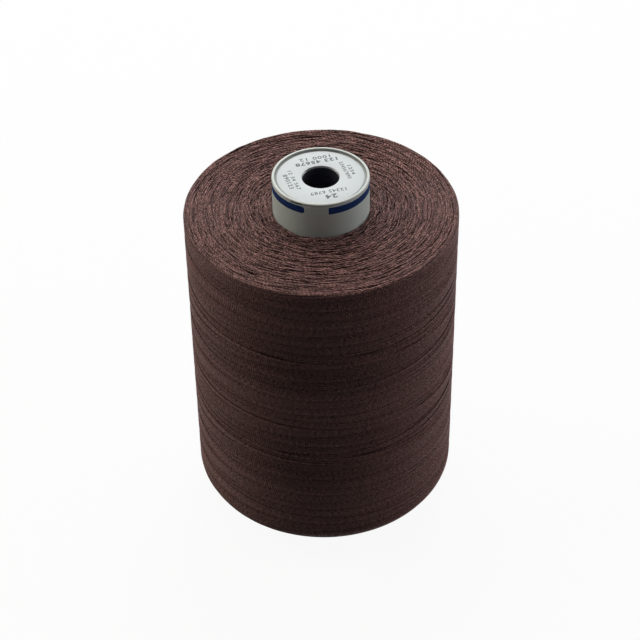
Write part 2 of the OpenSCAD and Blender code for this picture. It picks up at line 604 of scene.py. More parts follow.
@dataclass(frozen=True)
class ThreadFinish:
    """Matt spun polyester thread, two-ply, with the twist's ridges and loose fibres.

    Attributes:
        name: the material's name.
        ply: colour of the top of a ply.
        furrow_shade: painted shade; colour of the furrow between two plies.
        lay: length of thread from one ply to the next, along one side of it.
        plies: how many plies are twisted together.
        ridge: height of a ply over the furrow.
        roughness: roughness of the fibres' shine.
        fibres: loose fibres to the metre.
        flecks: lighter and darker flecks to the metre of thread.
        fleck_on_side: how strong the flecks are on the package's side.
        fleck_on_face: how strong they are on its end faces.
        flank_shade: painted shade; how light a strand is made where it turns away into its neighbours.
    """

    name: str = "spun_thread"
    ply: Colour = (0.340, 0.179, 0.161)
    furrow_shade: Colour = (0.032, 0.0144, 0.0120)
    lay: float = 0.8 * MM
    plies: int = 2
    ridge: float = 0.05 * MM
    roughness: float = 0.5
    fibres: float = 5200.0
    flecks: float = 1000.0
    fleck_on_side: float = 1.5
    fleck_on_face: float = 1.9
    flank_shade: float = 0.2

    def make(self) -> bpy.types.Material:
        """Builds the material.

        Returns:
            The material; it reads the attributes "along", the distance along a strand, "shade", how
            light the strand is, its own random tone with painted shade and painted sheen in it, and
            "lean", how far up the package's surface faces there.
        """
        tree = FinishTree(self.name)
        x, y, _ = tree.parts(tree.place())
        nx, ny, nz = tree.parts(tree.node("ShaderNodeNewGeometry").outputs["Normal"])
        outwards = (x * nx + y * ny) / (x * x + y * y).root()
        around = tree.math("ARCTAN2", nz, outwards) / TURN
        along = tree.attribute("along")
        phase = around * self.plies + along / self.lay
        ridge = (phase * math.pi).sine().size()
        fibre = tree.noise(scale=self.fibres, detail=2.0)
        cloud = tree.noise(scale=60.0, detail=3.0)
        fleck = tree.ripple(along, self.flecks)
        lean = tree.attribute("lean")
        dappled = tree.lerp(lean * lean, self.fleck_on_side, self.fleck_on_face)
        # Painted shade: a strand is darkened on its flanks, where it turns away from the package's
        # surface into its neighbours.
        exposed = outwards * (1 - lean * lean).between(0.0, 1.0).root() + nz * lean
        crevice_shade = tree.lerp(tree.smooth(exposed, 0.15, 0.95), self.flank_shade, 1.0)
        # Painted shade: the furrow between the plies takes a far darker colour than their tops.
        colour = tree.blend(ridge.power(1.2), self.furrow_shade, self.ply)
        level = (0.7 + fibre * 0.6) * (0.86 + cloud * 0.28) * (1 + fleck * dappled)
        level = level * crevice_shade * tree.attribute("shade")
        tree.set(
            Base_Color=tree.shade(colour, level),
            Roughness=self.roughness,
            Specular_IOR_Level=0.055,
            Sheen_Weight=0.26,
            Sheen_Roughness=0.45,
            Sheen_Tint=(0.82, 0.66, 0.70, 1),
        )
        tree.relief(ridge + fibre * 0.5, self.ridge)
        return tree.material


@dataclass(frozen=True)
class PlasticFinish:
    """Moulded plastic with a fine grain, faint scuffs and slightly uneven colour.

    Attributes:
        name: the material's name.
        colour: colour of the clean plastic.
        worn: colour of the scuffs.
        roughness: roughness of the unscuffed surface.
        grain: height of the grain.
        coat: weight of the glossy skin.
        nick_shade: how much the painted shade in the nick for the thread's end darkens the colour,
            where the mesh carries it.
        painted_shade_within: distance from the axis within which the colour is darkened as painted
            shade; 0 is none.
        painted_shade_edge: half the width of the painted shade's soft edge.
        light_in_painted_shade: share of the colour's light left in the painted shade.
    """

    name: str
    colour: Colour
    worn: Colour
    roughness: float = 0.4
    grain: float = 0.012 * MM
    coat: float = 0.0
    nick_shade: float = 0.85
    painted_shade_within: float = 0.0
    painted_shade_edge: float = 0.1 * MM
    light_in_painted_shade: float = 0.4

    def make(self) -> bpy.types.Material:
        """Builds the material; nearer the axis than the given radius, painted shade darkens it."""
        tree = FinishTree(self.name)
        cloud = tree.noise(scale=90.0, detail=4.0)
        speck = tree.noise(scale=1500.0, detail=3.0)
        scuff = tree.noise(scale=260.0, detail=5.0, stretch=(1, 1, 5))
        worn = tree.smooth(scuff, 0.56, 0.74)
        colour = tree.blend(worn * 0.5, self.colour, self.worn)
        # Painted shade: the colour is darkened where the mesh marks the nick for the thread's end.
        level = (0.93 + cloud * 0.14) * (1 - tree.attribute("nick_shade") * self.nick_shade)
        # Painted shade: inside the given radius, in the lip's recess, the colour is darkened.
        if self.painted_shade_within > 0:
            x, y, _ = tree.parts(tree.place())
            radius = (x * x + y * y).root()
            starts, ends = (self.painted_shade_within + side * self.painted_shade_edge for side in (-1, 1))
            level = level * tree.lerp(tree.smooth(radius, starts, ends), self.light_in_painted_shade, 1.0)
        tree.set(
            Base_Color=tree.shade(colour, level),
            Roughness=tree.math("ADD", worn * 0.12 + speck * 0.10, self.roughness - 0.06),
            Coat_Weight=self.coat,
            Coat_Roughness=0.12,
        )
        tree.relief(speck + scuff * 0.6, self.grain)
        return tree.material


@dataclass(frozen=True)
class PaperFinish:
    """Smooth coated label paper with a fine fibre texture.

    Attributes:
        name: the material's name.
        colour: colour of the paper.
        shaded: colour of its darker fibres.
        roughness: roughness of the paper's coating.
        fibre_height: height of the fibres.
    """

    name: str = "label_paper"
    colour: Colour = (0.78, 0.81, 0.84)
    shaded: Colour = (0.69, 0.72, 0.73)
    roughness: float = 0.55
    fibre_height: float = 0.012 * MM

    def make(self) -> bpy.types.Material:
        """Builds the material."""
        tree = FinishTree(self.name)
        fibre = tree.noise(scale=2600.0, detail=4.0)
        cloud = tree.noise(scale=140.0, detail=3.0)
        tree.set(
            Base_Color=tree.blend(fibre * 0.5 + cloud * 0.5, self.shaded, self.colour),
            Roughness=self.roughness,
            Specular_IOR_Level=0.4,
        )
        tree.relief(fibre, self.fibre_height)
        return tree.material


@dataclass(frozen=True)
class InkFinish:
    """Printing ink, thin and slightly uneven, so that its ground shows a little.

    Attributes:
        name: the material's name.
        colour: colour of the full ink.
        thin: colour where the ink is thin.
        roughness: roughness of the ink.
        film: height of the ink's unevenness.
    """

    name: str
    colour: Colour
    thin: Colour
    roughness: float = 0.45
    film: float = 0.008 * MM

    def make(self) -> bpy.types.Material:
        """Builds the material."""
        tree = FinishTree(self.name)
        speck = tree.noise(scale=1800.0, detail=4.0)
        tree.set(
            Base_Color=tree.blend(tree.smooth(speck, 0.5, 0.8) * 0.5, self.colour, self.thin),
            Roughness=self.roughness,
            Specular_IOR_Level=0.23,
        )
        tree.relief(speck, self.film)
        return tree.material


# ---------------------------------------------------------------------------
# The wound package
# ---------------------------------------------------------------------------


class Face(Enum):
    """An end face of the package, with the way it looks along Z."""

    TOP = 1
    FOOT = -1


@dataclass
class WoundPackage:
    """The package of thread: cross-wound sides, two end faces and the layers under them.

    Attributes:
        outer_radius: radius of the package.
        tube_radius: radius of the tube that it is wound on.
        top: height of the top face.
        bottom: height of the foot face.
        material: the thread's material.
        strand_radius: radius of the thread on the side.
        face_strand_radius: radius of the thread on the end faces.
        shoulder: rounding of the top face's edge.
        foot_round: rounding of the foot face's edge.
        stroke_pairs: how often the outer thread goes down and up again.
        whole_turns: full turns of the thread in one stroke.
        rings_per_turn: cross-sections of the strand in one turn.
        side_pieces: pieces that the outer thread is made in.
        groove: extra gap after the last pair of strokes, in steps of about one pair.
        inner_painted_shade: painted shade; how light the layers under the outer thread are made.
        strand_sides: sides of a strand on the side.
        face_strand_sides: sides of a strand on the end faces.
        pass_under: how much deeper a strand lies under a later one, in strand radii.
        upper_band: upper band of the side where the strands part and leave grooves.
        middle_band: the like band below it.
        loose_between: how much of their wander the strands keep outside these bands.
        top_arcs: arcs in each ring of equal area on the top face, from the tube outwards.
        foot_arcs: the same on the foot face.
        rings_per_arc: cross-sections of the strand in one arc.
        top_rim_free: share of the top edge's rounding that the arcs leave free.
        foot_rim_free: the same at the foot.
        inner_depth: depth of the inner layers under the surface, in strand radii.
        inner_columns: columns of the inner layers' mesh.
        slot: name of a material slot; not used.
    """

    outer_radius: float
    tube_radius: float
    top: float
    bottom: float
    material: bpy.types.Material
    strand_radius: float = 0.25 * MM
    face_strand_radius: float = 0.2 * MM
    shoulder: float = 1.1 * MM
    foot_round: float = 7.0 * MM
    stroke_pairs: int = 26
    whole_turns: int = 8
    rings_per_turn: int = 128
    side_pieces: int = 4
    groove: float = 1.1
    inner_painted_shade: float = 0.6
    strand_sides: int = 6
    face_strand_sides: int = 5
    pass_under: float = 1.85
    upper_band: Band = (0.10, 0.19, 0.31, 0.39)
    middle_band: Band = (0.41, 0.49, 0.60, 0.70)
    loose_between: float = 0.12
    top_arcs: Sequence[int] = (1900, 1650, 1500, 1400)
    foot_arcs: Sequence[int] = (1200, 1000, 900)
    rings_per_arc: int = 9
    top_rim_free: float = 0.55
    foot_rim_free: float = 0.85
    inner_depth: float = 4.4
    inner_columns: int = 160
    slot: str = "thread"

    def strand_step(self) -> float:
        """Share of a turn by which each pair of strokes moves on."""
        return (1 - self.groove / self.stroke_pairs) / self.stroke_pairs

    def turns_per_stroke(self) -> float:
        """Turns that the thread makes in one stroke along the package."""
        return self.whole_turns + self.strand_step() / 2

    def side_run(self) -> float:
        """Length of the side's outline, over both rounded edges."""
        straight = self.top - self.bottom - self.shoulder - self.foot_round
        return straight + (self.shoulder + self.foot_round) * math.pi / 2

    @staticmethod
    def _within(tree: ShapeTree, place: Field, band: Band) -> Field:
        """One inside a band of heights, nothing outside it, and soft at both of its edges.

        Args:
            tree: the tree to write in.
            place: share of the way down the side.
            band: where the band begins and is full, and where it fades and ends.

        Returns:
            How far the place is in the band.
        """
        begins, full, fades, ends = band
        return tree.smooth(place, begins, full) * (1 - tree.smooth(place, fades, ends))

    def _side_tree(self) -> ShapeTree:
        """Writes the tree for the outer strokes of thread.

        Each stroke climbs or falls in an even helix, turns back at the edge, and passes over
        the strokes laid before it and under those laid after it.

        Returns:
            The tree.
        """
        tree = ShapeTree("cross_winding")
        rings = tree.count("Rings")
        first = tree.number("First turn")
        last = tree.number("Last turn")
        turns = tree.number("Turns per stroke")
        step = tree.number("Strand step")
        pairs_round = tree.number("Strands round")
        run = tree.number("Side run")
        shoulder = tree.number("Shoulder")
        foot = tree.number("Foot rounding")
        outer = tree.number("Outer radius")
        top = tree.number("Top")
        thickness = tree.number("Strand radius")
        turned_back = tree.number("Turn-back softness")
        fall_width = tree.number("Fall width")
        rise_width = tree.number("Rise width")
        wander = tree.number("Wander")
        uneven_lead = tree.number("Lead unevenness")
        bunching = tree.number("Bunching")
        ragged = tree.number("Turn-back spread")
        quarter = math.pi / 2

        passed = tree.lerp(tree.index() / (rings - 1), first, last)
        stroke = (passed / turns).floor()
        within = passed - stroke * turns
        going_up = tree.math("FLOORED_MODULO", stroke, 2.0)
        sense = 1 - going_up * 2
        gone = going_up * turns + sense * within
        left = turns - gone
        soft = turned_back * turned_back
        eased = gone + ((gone * gone + soft).root() - gone) - ((left * left + soft).root() - left)

        round_share = (passed + sense * (eased - step * 0.5)).fraction() / step
        order = ((stroke + 1) * 0.5).floor()
        falls = tree.smooth((order - round_share) / fall_width, -0.5, 0.5)
        rises = tree.smooth(round_share / rise_width, -0.5, 0.5)
        rises_again = tree.smooth((round_share - pairs_round) / rise_width, -0.5, 0.5)
        on_top = tree.math("MAXIMUM", tree.math("MINIMUM", falls, rises), rises_again)

        # A slow drift and a quick one move each turn a little up and down, most of all in the
        # strokes laid first and last. A number added to a ripple's place only starts it elsewhere,
        # so that no two ripples are alike.
        drift = tree.ripple(passed, 0.7) * 1.6 + tree.ripple(passed + 311.0, 5.0) * 0.4
        free = 0.7 + (order / pairs_round * 2 - 1).size().power(3.0)
        travel = eased / turns
        # The lead surges in three long waves and five short ones, and is even at both ends.
        surge = (travel * (TURN * 3) + 0.9).sine() + (travel * (TURN * 5) + 2.0).sine() * 0.5
        window = (travel * math.pi).sine()
        # Neighbouring strands gather in bundles, which part and leave grooves.
        gathered = (order * 0.3 + going_up * 2.3).sine() * 5.5
        bunch = ((order + gathered) * 0.17).floor() + going_up * 40
        pushed = tree.random(-1.0, 1.0, bunch, 11)
        parted = tree.smooth(tree.ripple(gone + bunch * 31.7, 0.28), -0.2, 0.15)
        moved = pushed * pushed.size() * parted * 1.5
        # Two bands of the side show the grooves, and the rest lies almost even.
        upper = self._within(tree, travel, self.upper_band)
        middle = self._within(tree, travel, self.middle_band)
        held = upper + middle
        low_turn = tree.random(0.0, 1.0, order, 12) * (1 - tree.smooth(travel, 0.0, 0.03))
        gone_down = (travel + surge * window * uneven_lead) * run
        loose = self.loose_between + held * (1 - self.loose_between)
        aside = drift * free * loose * wander + moved * held * bunching + low_turn * ragged
        at = (gone_down + aside).between(0.0, run)
        over = (at / shoulder).between(0.0, quarter)
        straight = run - (shoulder + foot) * quarter
        down = (at - shoulder * quarter).between(0.0, straight)
        under = ((at - shoulder * quarter - straight) / foot).between(0.0, quarter)
        out_r = over.sine() - (1 - under.cosine())
        out_z = over.cosine() - under.sine()
        edge_r = outer - shoulder + shoulder * over.sine() - foot * (1 - under.cosine())
        edge_z = top - shoulder * (1 - over.cosine()) - down - foot * under.sine()

        uneven = tree.ripple(passed + 97.0, 11.0) * 0.25
        depth = thickness * (1 + (1 - on_top) * self.pass_under + uneven + 0.12)
        tree.strands(
            points=rings,
            radial=edge_r - depth * out_r,
            angle=passed * TURN,
            height=edge_z - depth * out_z,
            group=rings * 0,
            thickness=thickness,
            attributes={
                "along": passed * outer * TURN
                + tree.random(0.0, 0.01, stroke, 7)
                + tree.ripple(passed + 55.0, 9.0) * 0.002,
                # A random tone for each stroke; the bundles and the slow ripple are painted sheen, for
                # how differently laid strands catch the light, and strands under others get painted
                # shade.
                "shade": tree.random(0.9, 1.1, stroke, 8)
                + tree.random(-0.08, 0.08, bunch, 13)
                + tree.ripple(order + going_up * 71 + gone * 0.4, 0.07) * 0.22
                - (1 - on_top) * 0.08,
                "lean": out_z,
            },
            sides=self.strand_sides,
            material=self.material,
        )
        return tree

    def make_side(self) -> list[bpy.types.Object]:
        """Builds the outer strokes of thread, as a few pieces that follow on each other.

        Returns:
            The pieces.
        """
        tree = self._side_tree()
        turns = self.turns_per_stroke()
        strokes = 2 * self.stroke_pairs / self.side_pieces
        pieces = []
        for k in range(self.side_pieces):
            first = k * strokes * turns
            last = (k + 1) * strokes * turns
            piece = tree.make(
                f"side_thread_{k + 1}",
                Rings=round((last - first) * self.rings_per_turn) + 1,
                First_turn=first,
                Last_turn=last,
                Turns_per_stroke=turns,
                Strand_step=self.strand_step(),
                Strands_round=1 / self.strand_step(),
                Side_run=self.side_run(),
                Shoulder=self.shoulder,
                Foot_rounding=self.foot_round,
                Outer_radius=self.outer_radius,
                Top=self.top,
                Strand_radius=self.strand_radius,
                **{"Turn-back_softness": 0.02},
                Fall_width=7.0,
                Rise_width=8.0,
                Wander=0.17 * MM,
                Lead_unevenness=0.006,
                Bunching=0.95 * MM,
                **{"Turn-back_spread": 0.8 * MM},
            )
            pieces.append(dress(piece, self.material))
        return pieces

    def _face_tree(self) -> ShapeTree:
        """Writes the tree for an end face: short arcs where each stroke turned back.

        Each arc comes up from the side's slope, runs along the face and sinks again.

        Returns:
            The tree.
        """
        tree = ShapeTree("end_face_arcs")
        arcs = tree.count("Arcs")
        rings = tree.count("Rings per arc")
        inner = tree.number("Inner radius")
        outer = tree.number("Outer radius")
        tube = tree.number("Tube radius")
        edge = tree.number("Edge radius")
        height = tree.number("Face height")
        facing = tree.number("Facing")
        reach_in = tree.number("Half length by the tube")
        reach_out = tree.number("Half length at the edge")
        thickness = tree.number("Strand radius")
        skew_in = tree.number("Skew by the tube")
        skew_out = tree.number("Skew at the edge")
        uneven = tree.number("Unevenness")
        rise = tree.number("Rise by the tube")
        lead = tree.number("Lead")
        bend = tree.number("Bend")
        dive = tree.number("End dive")
        tight = tree.number("Twist left")
        seed = tree.count("Seed")

        arc = (tree.index() / rings).floor()
        share = (tree.index() - arc * rings) / (rings - 1) * 2 - 1
        placed = (arc + tree.random(0.0, 1.0, arc, seed)) / arcs
        radius = tree.lerp(placed, inner * inner, outer * outer).root()
        spread = (radius - tube) / (edge - tube)
        golden = TURN * (3 - math.sqrt(5)) / 2
        start = arc * golden + tree.random(0.0, 0.6, arc, seed + 1)
        reach = tree.lerp(spread, reach_in, reach_out) * tree.random(0.6, 1.4, arc, seed + 2)
        skew = tree.random(-1.0, 1.0, arc, seed + 3) * tree.lerp(spread.root(), skew_in, skew_out)
        bow = tree.random(-0.4, 0.4, arc, seed + 4) * tree.lerp(spread, skew_in, skew_out)
        calm = tree.lerp(tree.smooth(spread, 0.0, 0.08), 0.4, 1.0)
        sunk = tree.random(0.0, 1.0, arc, seed + 5) * uneven * calm * tree.lerp(spread, 1.2, 0.9)
        off_line = (radius + skew * share + bow * share * share).between(tube, edge)
        run = share * reach
        slope = lead / (radius * TURN)
        fall = ((run * run + bend * bend).root() - bend) * slope + share.power(6.0) * dive
        moat = 1 - tree.smooth(spread, 0.0, 0.06)
        piled = (1 - spread).between(0.0, 1.0).power(3.0) * rise - moat * 0.7 * MM
        tree.strands(
            points=arcs * rings,
            radial=off_line,
            angle=start + run / radius,
            height=height - facing * (thickness + sunk + fall - piled),
            group=arc,
            thickness=thickness,
            attributes={
                "along": run * tight + arc * 0.0137,
                # A random tone for each arc, with painted shade that darkens it the deeper it lies.
                "shade": tree.random(0.65, 1.45, arc, seed + 6) - sunk / uneven * 0.3,
                "lean": facing + arc * 0,
            },
            sides=self.face_strand_sides,
            material=self.material,
        )
        return tree

    def make_face(self, face: Face, tree: ShapeTree, arcs: Sequence[int]) -> None:
        """Builds an end face.

        Args:
            face: which end.
            tree: the tree that draws the arcs.
            arcs: how many arcs cover each of its rings of equal area, from the tube outwards.
        """
        top = face is Face.TOP
        inner = self.tube_radius + self.face_strand_radius * 1.1
        edge = self.shoulder if top else self.foot_round
        free = self.top_rim_free if top else self.foot_rim_free
        outer = self.outer_radius - edge * free
        area = (outer**2 - inner**2) / len(arcs)
        for k, count in enumerate(arcs):
            piece = tree.make(
                f"{face.name.lower()}_face_thread_{k + 1}",
                Arcs=count,
                Rings_per_arc=self.rings_per_arc,
                Inner_radius=math.sqrt(inner**2 + k * area),
                Outer_radius=math.sqrt(inner**2 + (k + 1) * area),
                Tube_radius=inner,
                Edge_radius=outer,
                Face_height=self.top if top else self.bottom,
                Facing=face.value,
                Half_length_by_the_tube=3.0 * MM,
                Half_length_at_the_edge=6.5 * MM,
                Strand_radius=self.face_strand_radius,
                Skew_by_the_tube=1.3 * MM,
                Skew_at_the_edge=0.3 * MM,
                Unevenness=0.95 * MM,
                Rise_by_the_tube=0.8 * MM if top else 0.3 * MM,
                Lead=self.side_run() / self.turns_per_stroke(),
                Bend=1.2 * MM,
                End_dive=0.6 * MM,
                Twist_left=0.7,
                Seed=40 + 10 * k + (0 if top else 100),
            )
            dress(piece, self.material)

    def make_inner_layers(self) -> None:
        """Builds the layers under the outer strokes as a smooth turned shell, with the attributes that
        the thread's material reads.
        """
        depth = self.inner_depth * self.strand_radius
        low = self.bottom + depth
        high = self.top - depth
        inner = self.tube_radius + FIT
        outer = self.outer_radius - depth
        corners = [
            Corner(inner, low),
            Corner(outer, low, self.foot_round),
            Corner(outer, high, self.shoulder),
            Corner(inner, high),
        ]
        work = bmesh.new()
        add_turned(work, rounded_outline(corners, 10), even_angles(self.inner_columns))
        piece = finish_mesh(work, "inner_layers")
        along = piece.data.attributes.new("along", "FLOAT", "POINT")
        shade = piece.data.attributes.new("shade", "FLOAT", "POINT")
        lean = piece.data.attributes.new("lean", "FLOAT", "POINT")
        for index, vertex in enumerate(piece.data.vertices):
            along.data[index].value = math.atan2(vertex.co.y, vertex.co.x) * self.outer_radius
            # Painted shade: the layers under the outer thread are darker all over.
            shade.data[index].value = self.inner_painted_shade
            lean.data[index].value = vertex.normal.z
        dress(piece, self.material, ["thread_core", "thread_winding"])

    def make(self) -> None:
        """Builds the whole package."""
        self.make_inner_layers()
        self.make_side()
        tree = self._face_tree()
        self.make_face(Face.TOP, tree, self.top_arcs)
        self.make_face(Face.FOOT, tree, self.foot_arcs)


# ---------------------------------------------------------------------------
# Tube, caps, sleeve and label
# ---------------------------------------------------------------------------


@dataclass
class WindingTube:
    """The plastic tube that the thread is wound on.

    Attributes:
        radius: outer radius.
        bottom: height of its lower end.
        top: height of its upper end.
        material: the tube's material.
        seam: width and height of the bevel at each end's outside.
        seam_rounding: rounding of the bevel's edge on the outside.
        slot: name of a material slot; not used.
    """

    radius: float
    bottom: float
    top: float
    material: bpy.types.Material
    seam: float = 0.2 * MM
    seam_rounding: float = 0.08 * MM
    slot: str = "tube_plastic"

    def make(self) -> None:
        """Builds the tube, with a bevelled seam at each end."""
        inner = self.radius - TUBE_WALL
        corners = [
            Corner(inner, self.bottom),
            Corner(self.radius - self.seam, self.bottom),
            Corner(self.radius, self.bottom + self.seam, self.seam_rounding),
            Corner(self.radius, self.top - self.seam, self.seam_rounding),
            Corner(self.radius - self.seam, self.top),
            Corner(inner, self.top),
        ]
        work = bmesh.new()
        add_turned(work, rounded_outline(corners, 3), even_angles(192))
        dress(finish_mesh(work, "tube_shell"), self.material, ["winding_tube"])


@dataclass
class EndCap:
    """A moulded cap: lip, recess, web, skirt, boss, ribs and the nick for the thread's end.

    Attributes:
        name: the piece's name.
        node: the CAD node that it stands for.
        seat: height of the tube's end that it sits on.
        upright: whether it sits on the upper end, with its lip up.
        tube_radius: the tube's outer radius.
        sleeve_radius: the sleeve's outer radius.
        material: the cap's material.
        lip_height: height of the lip over the tube's end.
        lip_width: width of the lip.
        web_rise: height of the web's face over the tube's end.
        web: thickness of the web.
        skirt: length of the skirt and the boss under the web.
        skirt_wall: wall of the skirt.
        boss_wall: wall of the boss.
        lead_in: bevel at the skirt's end.
        ribs: how many ribs join the boss and the skirt.
        rib: thickness of a rib.
        rib_short: how much shorter than the skirt the ribs are.
        catch_low: height of the nick's lower edge over the tube's end.
        catch_high: height of the nick's upper edge over the tube's end.
        catch_deep: depth of the nick.
        catch_length: length of the nick round the lip.
        catch_full: share of its length that has the full depth.
        catch_left: degrees from the front to its middle, towards the left.
        bead_outside: width and height of the quarter oval that rounds the lip's outside.
        bead_inside: width and height of the one that rounds its inside.
        slot: name of a material slot; not used.
    """

    name: str
    node: str
    seat: float
    upright: bool
    tube_radius: float
    sleeve_radius: float
    material: bpy.types.Material
    lip_height: float = 1.1 * MM
    lip_width: float = 1.0 * MM
    web_rise: float = 0.3 * MM
    web: float = 1.6 * MM
    skirt: float = 8.0 * MM
    skirt_wall: float = 1.2 * MM
    boss_wall: float = 1.3 * MM
    lead_in: float = 0.5 * MM
    ribs: int = 6
    rib: float = 1.1 * MM
    rib_short: float = 3.0 * MM
    catch_low: float = 0.3 * MM
    catch_high: float = 0.7 * MM
    catch_deep: float = 0.5 * MM
    catch_length: float = 3.6 * MM
    catch_full: float = 0.96
    catch_left: float = 30.0
    bead_outside: tuple[float, float] = (0.62 * MM, 0.36 * MM)
    bead_inside: tuple[float, float] = (0.34 * MM, 0.26 * MM)
    slot: str = "cap_plastic"

    def _outline(self) -> list[Point]:
        """The cap's section, on a tube whose end is at height 0."""
        inner = self.sleeve_radius + FIT
        boss = inner + self.boss_wall
        skirt = self.tube_radius - TUBE_WALL - FIT
        lip = self.tube_radius - self.lip_width
        low = self.web_rise - self.web
        end = low - self.skirt
        soft = 0.15 * MM
        thin = 0.01 * MM
        corners = [
            Corner(inner, self.web_rise, 0.1 * MM),
            Corner(inner, end),
            Corner(boss, end, soft),
            Corner(boss, low, soft),
            Corner(skirt - self.skirt_wall, low, soft),
            Corner(skirt - self.skirt_wall, end),
            Corner(skirt - self.lead_in, end),
            Corner(skirt, end + self.lead_in, soft),
            Corner(skirt, 0),
            Corner(self.tube_radius, 0, 0.06 * MM),
            Corner(self.tube_radius, self.catch_low - thin),
            Corner(self.tube_radius, self.catch_low),
            Corner(self.tube_radius, self.catch_high),
            Corner(self.tube_radius, self.catch_high + thin),
            *self._bead(),
            Corner(lip, self.web_rise, 0.15 * MM),
        ]
        return rounded_outline(corners)

    def _bead(self) -> list[Corner]:
        """The lip's crown as two quarters of ovals, from its outside to its inside."""
        inner = self.tube_radius - self.lip_width
        wide, tall = self.bead_outside
        narrow, low = self.bead_inside
        outer_steps = 8
        inner_steps = 6
        corners = []
        for k in range(outer_steps + 1):
            turn = math.pi / (2 * outer_steps) * k
            r = self.tube_radius - wide * (1 - math.cos(turn))
            corners.append(Corner(r, self.lip_height - tall * (1 - math.sin(turn))))
        for k in range(inner_steps + 1):
            turn = math.pi / (2 * inner_steps) * k
            r = inner + narrow * (1 - math.sin(turn))
            corners.append(Corner(r, self.lip_height - low * (1 - math.cos(turn))))
        return corners

    def _angles(self, middle: float, half: float) -> list[float]:
        """Angles of the section's copies, with close ones at the two ends of the nick."""
        too_close = 0.004
        shares = (self.catch_full, 1.0)
        edges = [middle + side * half * share for side in (-1, 1) for share in shares]
        clear = [a for a in even_angles(240) if all(abs(a - e) > too_close for e in edges)]
        return sorted(clear + edges)

    def make(self) -> None:
        """Builds the cap and turns it over if it is the foot's."""
        middle = frontwards(self.catch_left) % TURN
        half = self.catch_length / self.tube_radius / 2
        close = 0.001 * MM
        nick_shade_rim = 0.02 * MM

        def nick(point: Point, angle: float) -> float:
            """How far a point moves outwards: inwards in the nick, and nowhere else."""
            r, z = point
            in_wall = abs(r - self.tube_radius) < close
            in_height = self.catch_low - close < z < self.catch_high + close
            in_length = abs(angle - middle) < half * (self.catch_full + 1) / 2
            return -self.catch_deep if in_wall and in_height and in_length else 0.0

        work = bmesh.new()
        add_turned(work, self._outline(), self._angles(middle, half), nick)
        # Painted shade: the nick's walls and floor are marked, so that their colour is darkened.
        nick_shade = work.verts.layers.float.new("nick_shade")
        for vert in work.verts:
            in_wall = vert.co.xy.length > self.tube_radius - self.catch_deep - close
            in_height = self.catch_low - nick_shade_rim < vert.co.z < self.catch_high + nick_shade_rim
            angle = math.atan2(vert.co.y, vert.co.x) % TURN
            if in_wall and in_height and abs(angle - middle) < half * 1.001:
                vert[nick_shade] = 1.0
        self._add_ribs(work)
        turn = Matrix.Identity(4) if self.upright else Matrix.Rotation(math.pi, 4, "X")
        bmesh.ops.transform(work, matrix=Matrix.Translation((0, 0, self.seat)) @ turn, verts=work.verts)
        dress(finish_mesh(work, self.name), self.material, [self.node])

    def _add_ribs(self, work: bmesh.types.BMesh) -> None:
        """Adds the ribs between the boss and the skirt."""
        start = self.sleeve_radius + FIT + self.boss_wall / 2
        end = self.tube_radius - TUBE_WALL - FIT - self.skirt_wall / 2
        height = self.skirt - self.rib_short
        low = self.web_rise - self.web - height
        for k in range(self.ribs):
            box = bmesh.ops.create_cube(work, size=1.0)["verts"]
            scale = Matrix.Diagonal((end - start, self.rib, height + 0.01 * MM, 1))
            middle = Matrix.Translation(((start + end) / 2, 0, low + height / 2))
            spin = Matrix.Rotation(TURN * k / self.ribs, 4, "Z")
            bmesh.ops.transform(work, matrix=spin @ middle @ scale, verts=box)


@dataclass
class SpindleSleeve:
    """The black inner tube that runs from web to web.

    Attributes:
        bottom: height of its lower end.
        top: height of its upper end.
        radius: outer radius.
        material: the sleeve's material.
        bore: radius of the bore.
        bevel: bevel at each mouth.
        slot: name of a material slot; not used.
    """

    bottom: float
    top: float
    radius: float
    material: bpy.types.Material
    bore: float = 5.5 * MM
    bevel: float = 0.3 * MM
    slot: str = "sleeve_plastic"

    def make(self) -> None:
        """Builds the sleeve, with a softened bevel at each mouth."""
        mouth = self.bore + self.bevel
        soft = 0.08 * MM
        corners = [
            Corner(mouth, self.bottom, soft),
            Corner(self.radius, self.bottom),
            Corner(self.radius, self.top),
            Corner(mouth, self.top, soft),
            Corner(self.bore, self.top - self.bevel, soft),
            Corner(self.bore, self.bottom + self.bevel, soft),
        ]
        work = bmesh.new()
        add_turned(work, rounded_outline(corners, 3), even_angles(144))
        dress(finish_mesh(work, "sleeve_tube"), self.material, ["spindle_sleeve"])


@dataclass(frozen=True)
class PrintedNumber:
    """A line of plain digits on the label, in millimetres, with its turn in degrees.

    Attributes:
        digits: what it says.
        height: height of a digit.
        length: length of the line.
        x: place of its middle to the right of the label's.
        y: place of its middle behind the label's.
        turn: turn of the line round +Z.
        heavy: whether it is printed heavier.
    """

    digits: str
    height: float
    length: float
    x: float
    y: float
    turn: float
    heavy: bool = False


